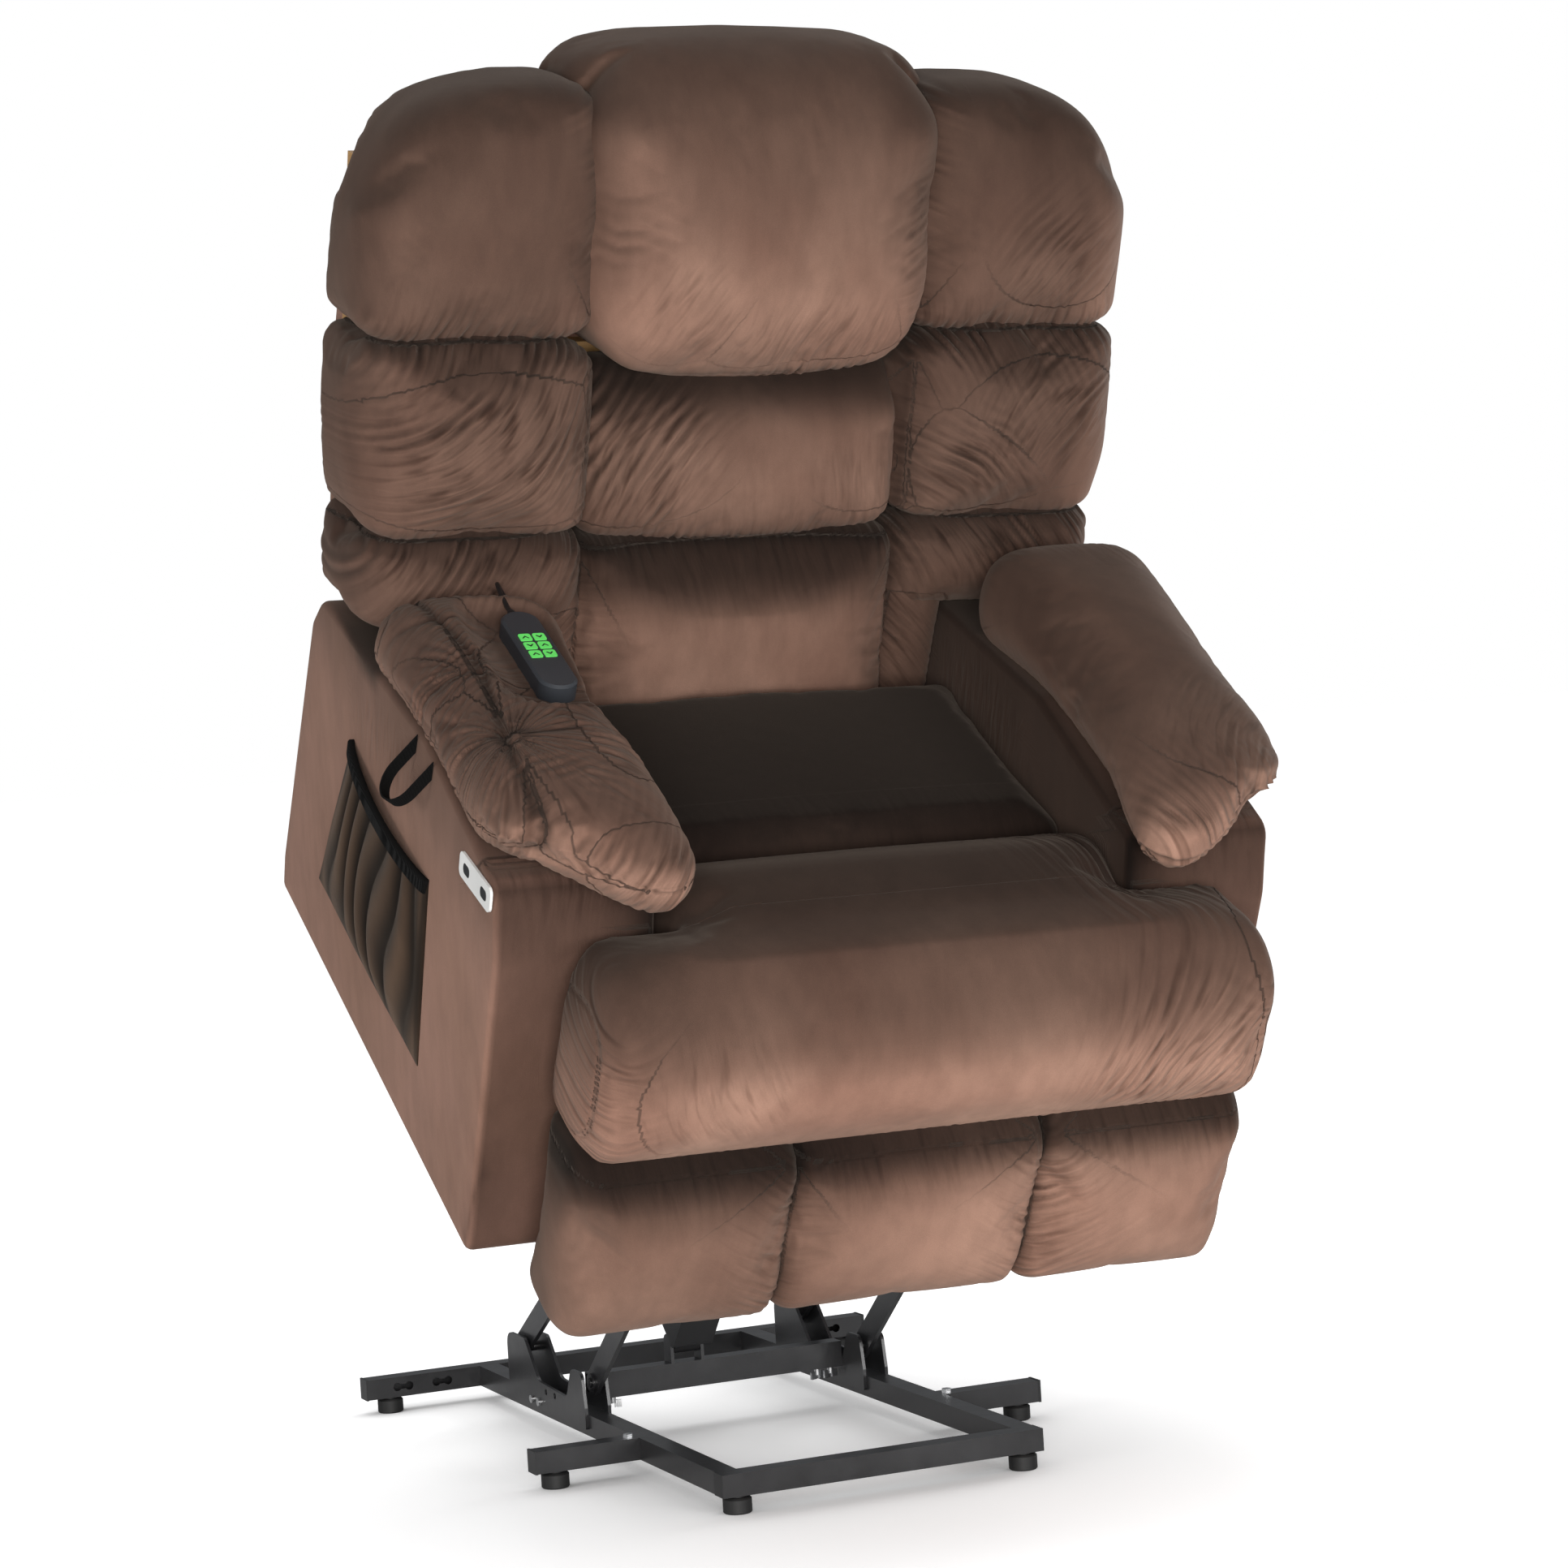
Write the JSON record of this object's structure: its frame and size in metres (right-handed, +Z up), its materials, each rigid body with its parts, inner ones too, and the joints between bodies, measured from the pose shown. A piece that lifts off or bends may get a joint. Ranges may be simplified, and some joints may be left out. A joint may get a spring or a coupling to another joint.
{
  "type": "lift recliner chair",
  "caption": "Powered lift recliner with padded arms and back, swing-out footrest, wired handset and a steel floor base whose arms raise and tilt the seat.",
  "frame": {"origin": "on the floor, under the middle of the raised chair and its base", "axes": "+Z up, the chair faces -Y, and +X is towards the sitter's left arm"},
  "size_m": [0.998, 1.1184, 1.6618],
  "materials": {
    "plush": "short pile",
    "panel_cloth": "flat pile",
    "pocket_cloth": "gathered mesh",
    "webbing": "woven",
    "black_steel": "satin black powder coat",
    "zinc_steel": "zinc plated",
    "timber": "raw plywood",
    "black_plastic": "moulded",
    "foot_rubber": "moulded",
    "cord_pvc": "smooth jacket",
    "charcoal_plastic": "fine texture",
    "key_rubber": "lit green",
    "white_plastic": "gloss",
    "socket_plastic": "moulded"
  },
  "bodies": {
    "floor_base": {"front_bar": "black_steel", "side_rails": "black_steel", "outriggers": "black_steel", "rear_bar": "black_steel", "motor_cross_bar": "black_steel", "pivot_brackets": "black_steel", "feet": "foot_rubber", "tube_caps": "black_plastic", "base_bolts": "zinc_steel"},
    "rear_lift_arms": {"rear_lift_arms": "black_steel"},
    "front_lift_arms": {"front_lift_arms": "black_steel"},
    "lift_motor": {"lift_motor": "black_plastic"},
    "lift_motor_rod": {"lift_motor_rod": "zinc_steel"},
    "seat_carriage": {"mechanism_plates": "black_steel", "cross_tubes": "black_steel", "seat_frame": "timber", "seat_springs": "zinc_steel", "right_arm_box": "panel_cloth", "left_arm_box": "panel_cloth", "right_arm_pad": "plush", "left_arm_pad": "plush", "seat_cushion": "plush", "chaise_pad": "plush", "side_pocket": "pocket_cloth", "pocket_elastic": "webbing", "usb_plate": "white_plastic", "usb_sockets": "socket_plastic", "strap_loop": "webbing", "control_box": "black_plastic", "handset_back": "charcoal_plastic", "handset_front": "charcoal_plastic", "handset_gland": "black_plastic", "cord_plug": "black_plastic", "handset_cord": "cord_pvc"},
    "backrest": {"back_frame": "timber", "back_brackets": "black_steel", "back_panel": "plush", "head_pillow": "plush", "lumbar_cushion": "plush", "lower_cushion": "plush", "right_wing": "plush", "left_wing": "plush"},
    "back_motor": {"back_motor": "black_plastic"},
    "back_motor_rod": {"back_motor_rod": "zinc_steel"},
    "drive_links": {"drive_links": "black_steel"},
    "follower_links": {"follower_links": "black_steel"},
    "carrier_bars": {"carrier_bars": "black_steel"},
    "guide_bars": {"guide_bars": "black_steel"},
    "footrest_board": {"footrest_brackets": "black_steel", "footrest_board": "timber", "footrest_roll": "plush", "footrest_panel": "plush"},
    "leg_motor": {"leg_motor": "black_plastic"},
    "leg_motor_rod": {"leg_motor_rod": "zinc_steel"},
    "key_lift": {"button_lift": "key_rubber"},
    "key_lower": {"button_lower": "key_rubber"},
    "key_recline": {"button_recline": "key_rubber"},
    "key_upright": {"button_upright": "key_rubber"},
    "key_leg_up": {"button_leg_up": "key_rubber"},
    "key_leg_down": {"button_leg_down": "key_rubber"}
  },
  "joints": [
    {"name": "lift", "type": "hinge", "parent": "floor_base", "child": "rear_lift_arms", "pos_m": [0.01296, 0.38008, 0.091], "axis": [1, 0, 0], "range_deg": [0, 31.21]},
    {"name": "seat_on_rear_arms", "type": "hinge", "parent": "rear_lift_arms", "child": "seat_carriage", "pos_m": [0.01296, -0.16011, 0.42649], "axis": [1, 0, 0], "range_deg": [-62.23, 0]},
    {"name": "front_arms_on_base", "type": "hinge", "parent": "floor_base", "child": "front_lift_arms", "pos_m": [0.01296, 0.14769, 0.08], "axis": [1, 0, 0], "range_deg": [0, 36.35]},
    {"name": "lift_motor_on_base", "type": "hinge", "parent": "floor_base", "child": "lift_motor", "pos_m": [0.01296, 0.19923, 0.106], "axis": [1, 0, 0], "range_deg": [0, 45.01]},
    {"name": "lift_rod", "type": "slide", "parent": "lift_motor", "child": "lift_motor_rod", "axis": [0, -0.665, 0.7468], "range_m": [-0.04108, 0]},
    {"name": "recline", "type": "hinge", "parent": "seat_carriage", "child": "backrest", "pos_m": [0.01296, 0.14121, 0.97736], "axis": [-1, 0, 0], "range_deg": [0, 40]},
    {"name": "back_motor_on_seat", "type": "hinge", "parent": "seat_carriage", "child": "back_motor", "pos_m": [0.01296, -0.13128, 0.6678], "axis": [-1, 0, 0], "range_deg": [-0.662, 0]},
    {"name": "back_rod", "type": "slide", "parent": "back_motor", "child": "back_motor_rod", "axis": [0, 0.806, 0.5919], "range_m": [-0.06224, 0]},
    {"name": "footrest", "type": "hinge", "parent": "seat_carriage", "child": "drive_links", "pos_m": [0.01296, -0.25645, 0.63926], "axis": [-1, 0, 0], "range_deg": [0, 86]},
    {"name": "followers_on_seat", "type": "hinge", "parent": "seat_carriage", "child": "follower_links", "pos_m": [0.01296, -0.20467, 0.65404], "axis": [-1, 0, 0], "range_deg": [0, 86.02]},
    {"name": "carriers_on_drive", "type": "hinge", "parent": "drive_links", "child": "carrier_bars", "pos_m": [0.01296, -0.02159, 0.51652], "axis": [-1, 0, 0], "range_deg": [-86.02, 0]},
    {"name": "guides_on_drive", "type": "hinge", "parent": "drive_links", "child": "guide_bars", "pos_m": [0.01296, -0.06861, 0.5676], "axis": [-1, 0, 0], "range_deg": [-86.02, 0]},
    {"name": "footrest_on_carriers", "type": "hinge", "parent": "carrier_bars", "child": "footrest_board", "pos_m": [0.01296, -0.31515, 0.44979], "axis": [-1, 0, 0], "range_deg": [0, 86.02]},
    {"name": "leg_motor_on_seat", "type": "hinge", "parent": "seat_carriage", "child": "leg_motor", "pos_m": [0.01296, 0.08472, 0.80926], "axis": [-1, 0, 0], "range_deg": [-2.32, 0]},
    {"name": "leg_rod", "type": "slide", "parent": "leg_motor", "child": "leg_motor_rod", "axis": [0, -0.863, -0.5052], "range_m": [0, 0.05407]},
    {"name": "press_lift", "type": "slide", "parent": "seat_carriage", "child": "key_lift", "axis": [0, 0.515, -0.8572], "range_m": [0, 0.0012], "stiffness_N_per_m": 400, "springref_m": -0.001},
    {"name": "press_lower", "type": "slide", "parent": "seat_carriage", "child": "key_lower", "axis": [0, 0.515, -0.8572], "range_m": [0, 0.0012], "stiffness_N_per_m": 400, "springref_m": -0.001},
    {"name": "press_recline", "type": "slide", "parent": "seat_carriage", "child": "key_recline", "axis": [0, 0.515, -0.8572], "range_m": [0, 0.0012], "stiffness_N_per_m": 400, "springref_m": -0.001},
    {"name": "press_upright", "type": "slide", "parent": "seat_carriage", "child": "key_upright", "axis": [0, 0.515, -0.8572], "range_m": [0, 0.0012], "stiffness_N_per_m": 400, "springref_m": -0.001},
    {"name": "press_leg_up", "type": "slide", "parent": "seat_carriage", "child": "key_leg_up", "axis": [0, 0.515, -0.8572], "range_m": [0, 0.0012], "stiffness_N_per_m": 400, "springref_m": -0.001},
    {"name": "press_leg_down", "type": "slide", "parent": "seat_carriage", "child": "key_leg_down", "axis": [0, 0.515, -0.8572], "range_m": [0, 0.0012], "stiffness_N_per_m": 400, "springref_m": -0.001}
  ],
  "couplings": [
    {"joint": "seat_on_rear_arms", "follows": "lift", "ratio": -1.9932},
    {"joint": "front_arms_on_base", "follows": "lift", "ratio": 1.1641},
    {"joint": "lift_motor_on_base", "follows": "lift", "ratio": 1.4416},
    {"joint": "lift_rod", "follows": "lift", "m_per_rad": -0.075394},
    {"joint": "back_motor_on_seat", "follows": "recline", "ratio": -0.016061},
    {"joint": "back_rod", "follows": "recline", "m_per_rad": -0.089138},
    {"joint": "followers_on_seat", "follows": "footrest", "ratio": 1},
    {"joint": "carriers_on_drive", "follows": "footrest", "ratio": -1},
    {"joint": "guides_on_drive", "follows": "footrest", "ratio": -1},
    {"joint": "footrest_on_carriers", "follows": "footrest", "ratio": 1},
    {"joint": "leg_motor_on_seat", "follows": "footrest", "ratio": -0.026731},
    {"joint": "leg_rod", "follows": "footrest", "m_per_rad": 0.036013}
  ]
}
